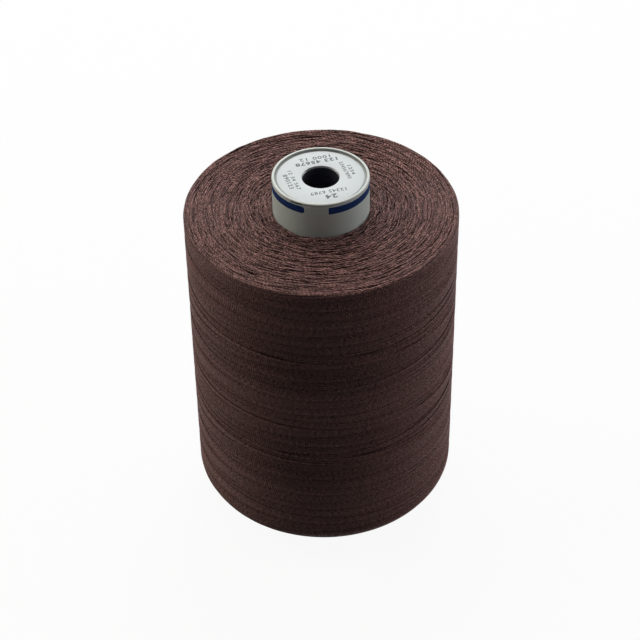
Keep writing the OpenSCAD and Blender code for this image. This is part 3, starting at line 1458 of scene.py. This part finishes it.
@dataclass
class EndLabel:
    """The paper disc in the top recess, with groups of plain digits.

    Attributes:
        base: height of its underside.
        radius: outer radius.
        paper: the disc's material.
        ink: the digits' material.
        hole: radius of the hole.
        thickness: thickness of the paper.
        lift: height of the middle of the ink over the paper.
        spacing: distance from digit to digit, where 1 is the typeface's own.
        plain_weight: how far a plain digit is thickened, for digits of size 1.
        heavy_weight: how far a heavy one is.
        curve_steps: lines that make one curve of a digit.
        weld: distance within which points are merged, for digits of size 1.
        slot: name of a material slot; not used.
        numbers: the lines of digits.
    """

    base: float
    radius: float
    paper: bpy.types.Material
    ink: bpy.types.Material
    hole: float = 5.85 * MM
    thickness: float = 0.15 * MM
    lift: float = 0.004 * MM
    spacing: float = 1.15
    plain_weight: float = 0.018
    heavy_weight: float = 0.034
    curve_steps: int = 4
    weld: float = 1e-5
    slot: str = "label_paper"
    numbers: list[PrintedNumber] = field(
        default_factory=lambda: [
            PrintedNumber("12345 6789", 1.5, 11.2, 2.3, -7.5, 194),
            PrintedNumber("24", 2.1, 3.7, 3.2, -9.9, 194, heavy=True),
            PrintedNumber("123 45678", 1.7, 13.4, -1.2, 7.9, 195, heavy=True),
            PrintedNumber("1000 12", 1.5, 9.8, -1.7, 9.9, 194),
            PrintedNumber("234567890", 1.25, 9.2, 7.6, 3.4, -72),
            PrintedNumber("1234", 1.25, 5.0, 9.5, 3.5, -72),
            PrintedNumber("12 34 567", 1.25, 10.2, -8.1, -1.5, -72),
            PrintedNumber("890123", 1.45, 7.6, -9.9, -2.2, -72),
        ]
    )

    def _make_disc(self) -> None:
        """Builds the paper disc."""
        soft = 0.04 * MM
        corners = [
            Corner(self.hole, self.base),
            Corner(self.radius, self.base),
            Corner(self.radius, self.base + self.thickness, soft),
            Corner(self.hole, self.base + self.thickness, soft),
        ]
        work = bmesh.new()
        add_turned(work, rounded_outline(corners, 3), even_angles(160))
        dress(finish_mesh(work, "label_disc"), self.paper, ["end_label"])

    def _make_number(self, index: int, number: PrintedNumber) -> bpy.types.Object:
        """Builds one line of digits as a mesh.

        Args:
            index: its place in the list.
            number: what it says and where.

        Returns:
            The object, in place.
        """
        text = bpy.data.curves.new(f"digits_{index}", "FONT")
        text.body = number.digits
        text.align_x = "CENTER"
        text.align_y = "CENTER"
        text.size = 1.0
        text.space_character = self.spacing
        text.resolution_u = self.curve_steps
        text.extrude = 0.004
        text.offset = self.heavy_weight if number.heavy else self.plain_weight
        written = add_object(f"digits_{index}", text)
        bpy.context.view_layer.update()
        mesh = bpy.data.meshes.new_from_object(written)
        bpy.data.objects.remove(written)
        work = bmesh.new()
        work.from_mesh(mesh)
        bpy.data.meshes.remove(mesh)
        bmesh.ops.remove_doubles(work, verts=work.verts, dist=self.weld)
        across = [vertex.co.x for vertex in work.verts]
        upwards = [vertex.co.y for vertex in work.verts]
        wide = number.length * MM / (max(across) - min(across))
        tall = number.height * MM / (max(upwards) - min(upwards))
        middle = ((max(across) + min(across)) / 2, (max(upwards) + min(upwards)) / 2)
        face = self.base + self.thickness + self.lift
        turn = Matrix.Rotation(math.radians(number.turn), 4, "Z")
        place = Matrix.Translation((number.x * MM, number.y * MM, face))
        scale = Matrix.Diagonal((wide, tall, tall, 1))
        work.transform(place @ turn @ scale @ Matrix.Translation((-middle[0], -middle[1], 0)))
        return finish_mesh(work, f"label_digits_{index}")

    def make(self) -> None:
        """Builds the disc and its digits."""
        self._make_disc()
        for index, number in enumerate(self.numbers, 1):
            dress(self._make_number(index, number), self.ink)


@dataclass
class CollarStripe:
    """The plain blue stripe printed round the collar, open at the front.

    Attributes:
        radius: outer radius of the tube that it is printed on.
        tube_top: height of the tube's upper end.
        material: the stripe's material.
        below_seam: gap from the tube's end down to the stripe.
        height: height of the stripe.
        right_end: where it starts, in degrees from the front towards the left.
        left_end: where it ends, the long way round.
        corner: rounding of its corners at the left end.
        corner_steps: lines that make one rounded corner.
        skin: how far it stands out of the tube.
        columns: even cross-sections along the stripe.
        slot: name of a material slot; not used.
    """

    radius: float
    tube_top: float
    material: bpy.types.Material
    below_seam: float = 0.22 * MM
    height: float = 2.5 * MM
    right_end: float = -8.5
    left_end: float = 20.0
    corner: float = 0.9 * MM
    corner_steps: int = 8
    skin: float = 0.03 * MM
    columns: int = 150
    slot: str = "tube_plastic"

    def make(self) -> None:
        """Builds the stripe as a thin closed skin, square at one end and rounded at the other."""
        start = frontwards(self.right_end)
        end = frontwards(self.left_end) + TURN
        length = (end - start) * self.radius
        top = self.tube_top - self.below_seam
        inside = self.radius - self.skin / 3
        outside = self.radius + self.skin
        steps = self.corner_steps
        close = [self.corner * (1 - math.cos(math.pi / 2 * k / steps)) for k in range(steps + 1)]
        even = [length * k / self.columns for k in range(self.columns)]
        runs = sorted({*[e for e in even if e < length - self.corner], *[length - c for c in close]})
        work = bmesh.new()
        rows = []
        for run in runs:
            into = max(0.0, run - (length - self.corner))
            cut = self.corner - math.sqrt(max(0.0, self.corner**2 - into**2))
            angle = start + run / self.radius
            low = top - self.height + cut
            high = top - cut
            section = ((inside, low), (outside, low), (outside, high), (inside, high))
            across, along = math.cos(angle), math.sin(angle)
            rows.append([work.verts.new((r * across, r * along, z)) for r, z in section])
        for one, two in zip(rows, rows[1:]):
            for k in range(4):
                n = (k + 1) % 4
                work.faces.new((one[k], two[k], two[n], one[n]))
        work.faces.new(rows[0])
        work.faces.new(rows[-1])
        dress(finish_mesh(work, "collar_stripe"), self.material)


# ---------------------------------------------------------------------------
# Studio
# ---------------------------------------------------------------------------


@dataclass(frozen=True)
class SoftLamp:
    """A large soft lamp, placed round the spool and aimed at its middle.

    Attributes:
        name: the lamp's name.
        place: where it hangs, from the point that it is aimed at.
        width: width of its face.
        depth: depth of its face.
        power: power in watts.
        colour: colour of its light.
    """

    name: str
    place: tuple[float, float, float]
    width: float
    depth: float
    power: float
    colour: Colour = WHITE


@dataclass
class Studio:
    """The floor, the world, and the lamps and the camera that aim at one point.

    Attributes:
        aim: the point, about the middle of the spool.
        lamps: the lamps.
        ambient: strength of the dim light from all round.
        ambient_colour: its colour.
        floor_bounce: the floor's colour for the light that it throws on the spool.
        floor_seen: the floor's colour where it is seen.
        floor_white: strength of the white that the floor and the world show, where 1 is full white.
        floor_reach: how far the floor goes each way.
        distance: distance of the camera from the point.
        elevation: degrees by which the camera looks down.
        roll: degrees by which it leans round its own line of sight.
        lens: focal length in millimetres.
        sensor: width of the sensor in millimetres.
    """

    aim: Vector
    lamps: list[SoftLamp]
    ambient: float = 0.045
    ambient_colour: Colour = (0.80, 0.92, 1.0)
    floor_bounce: Colour = (0.12, 0.12, 0.12)
    floor_seen: Colour = (0.9, 0.9, 0.9)
    floor_white: float = 0.93
    floor_reach: float = 4.0
    distance: float = 608.4 * MM
    elevation: float = 40.56
    roll: float = -0.973
    lens: float = 104.709
    sensor: float = 36.0

    def _make_floor(self) -> None:
        """Builds a plain white floor that keeps the spool's soft shadow."""
        work = bmesh.new()
        bmesh.ops.create_grid(work, x_segments=8, y_segments=8, size=self.floor_reach)
        floor = finish_mesh(work, "floor")
        tree = FinishTree("white_floor")
        floor.data.materials.append(tree.material)
        seen = tree.background_rays()
        tree.set(
            Base_Color=tree.blend(seen, self.floor_bounce, self.floor_seen),
            Roughness=0.9,
            Specular_IOR_Level=0.0,
        )
        glow = tree.node("ShaderNodeEmission")
        mix = tree.node("ShaderNodeMixShader")
        tree.feed(mix.inputs["Fac"], seen * self.floor_white)
        tree.feed(mix.inputs[1], tree.shader.outputs[0])
        tree.feed(mix.inputs[2], glow.outputs[0])
        tree.feed(tree.surface, mix.outputs[0])

    def _make_world(self) -> None:
        """Lights the spool dimly from all round, and shows the floor's white in the background."""
        world = bpy.data.worlds.new("studio_world")
        world.use_nodes = True
        bpy.context.scene.world = world
        writer = NodeWriter(world.node_tree)
        writer.tree.nodes.clear()
        seen = writer.background_rays()
        background = writer.node("ShaderNodeBackground")
        writer.feed(background.inputs["Color"], writer.blend(seen, self.ambient_colour, WHITE))
        writer.feed(background.inputs["Strength"], writer.lerp(seen, self.ambient, self.floor_white))
        out = writer.node("ShaderNodeOutputWorld")
        writer.feed(out.inputs["Surface"], background.outputs[0])

    def _make_lamp(self, lamp: SoftLamp) -> None:
        """Hangs one lamp."""
        light = bpy.data.lights.new(lamp.name, "AREA")
        light.shape = "RECTANGLE"
        light.size = lamp.width
        light.size_y = lamp.depth
        light.energy = lamp.power
        light.color = lamp.colour
        hung = add_object(lamp.name, light)
        hung.location = self.aim + Vector(lamp.place)
        hung.rotation_euler = (-Vector(lamp.place)).to_track_quat("-Z", "Y").to_euler()

    def _make_camera(self) -> None:
        """Sets the camera in front of the spool, looking down on it."""
        data = bpy.data.cameras.new("camera")
        data.lens = self.lens
        data.sensor_width = self.sensor
        data.clip_start = 0.02
        data.clip_end = 50.0
        camera = add_object("camera", data)
        rise = math.radians(self.elevation)
        lean = math.radians(self.roll)
        back = Vector((0, -math.cos(rise), math.sin(rise)))
        level = Vector((1, 0, 0))
        over = Vector((0, math.sin(rise), math.cos(rise)))
        right = level * math.cos(lean) + over * math.sin(lean)
        up = over * math.cos(lean) - level * math.sin(lean)
        turn = Matrix((right, up, back)).transposed().to_4x4()
        camera.matrix_world = Matrix.Translation(self.aim + back * self.distance) @ turn
        bpy.context.scene.camera = camera

    def make(self) -> None:
        """Builds the whole studio."""
        self._make_floor()
        self._make_world()
        for lamp in self.lamps:
            self._make_lamp(lamp)
        self._make_camera()
        bpy.context.scene.view_settings.view_transform = "Standard"


# ---------------------------------------------------------------------------
# The spool
# ---------------------------------------------------------------------------


def build_spool() -> None:
    """Builds the spool's pieces round the CAD model."""
    tube_low, tube_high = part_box("winding_tube")
    core_low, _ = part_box("thread_core")
    _, wound_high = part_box("thread_winding")
    sleeve_low, sleeve_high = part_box("spindle_sleeve")
    label_low, label_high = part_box("end_label")

    thread = ThreadFinish().make()
    shell = PlasticFinish("shell_plastic", (0.68, 0.77, 0.72), (0.74, 0.81, 0.77)).make()
    # Inside the lip, the cap's colour is darkened as painted shade.
    cap = PlasticFinish(
        "cap_plastic", (0.69, 0.72, 0.68), (0.76, 0.78, 0.75), 0.34, painted_shade_within=14.3 * MM
    ).make()
    black = PlasticFinish(
        "sleeve_plastic", (0.040, 0.041, 0.056), (0.065, 0.065, 0.080), 0.24, coat=0.6
    ).make()
    paper = PaperFinish().make()
    grey_ink = InkFinish("grey_ink", (0.13, 0.14, 0.15), (0.28, 0.29, 0.30)).make()
    blue_ink = InkFinish("blue_ink", (0.001, 0.024, 0.115), (0.006, 0.04, 0.15), 0.55).make()

    tube_radius = tube_high.x
    WindingTube(radius=tube_radius, bottom=tube_low.z, top=tube_high.z, material=shell).make()
    for node, seat, upright in (("top_cap", tube_high.z, True), ("foot_cap", tube_low.z, False)):
        EndCap(
            name=f"{node}_shell",
            node=node,
            seat=seat,
            upright=upright,
            tube_radius=tube_radius,
            sleeve_radius=sleeve_high.x,
            material=cap,
        ).make()
    SpindleSleeve(
        bottom=sleeve_low.z, top=sleeve_high.z, radius=sleeve_high.x, material=black
    ).make()
    EndLabel(base=label_low.z, radius=label_high.x, paper=paper, ink=grey_ink).make()
    CollarStripe(radius=tube_radius, tube_top=tube_high.z, material=blue_ink).make()
    WoundPackage(
        outer_radius=wound_high.y,
        tube_radius=tube_radius,
        top=wound_high.z,
        bottom=core_low.z,
        material=thread,
    ).make()


def main() -> None:
    """Builds the spool and its studio."""
    logging.basicConfig(level=logging.INFO, format="%(name)s: %(message)s")
    build_spool()
    # Each lamp's place from the aimed point in metres, then its width, depth, power and colour.
    lamps = [
        SoftLamp("lamp_behind", (0.0, 0.44, 0.73), 0.55, 0.5, 3.0, (1.0, 0.97, 0.90)),
        SoftLamp("lamp_far_behind", (0.0, 0.70, 0.45), 0.8, 0.6, 2.6, (0.74, 0.90, 1.0)),
        SoftLamp("lamp_left", (-0.6, 0.1, 0.6), 0.5, 0.5, 1.98, (1.0, 0.94, 0.85)),
        SoftLamp("lamp_low_left", (-0.75, 0.3, 0.35), 0.5, 0.4, 1.04, (1.0, 0.90, 0.76)),
        SoftLamp("lamp_right", (0.75, 0.3, 0.35), 0.4, 0.4, 1.66, (0.96, 0.96, 1.0)),
        SoftLamp("lamp_low_right", (0.8, -0.1, 0.25), 0.5, 0.4, 0.9, (1.0, 0.94, 0.92)),
    ]
    Studio(aim=Vector((-0.94 * MM, 0.0, 66.61 * MM)), lamps=lamps).make()


if __name__ == "__main__":
    main()
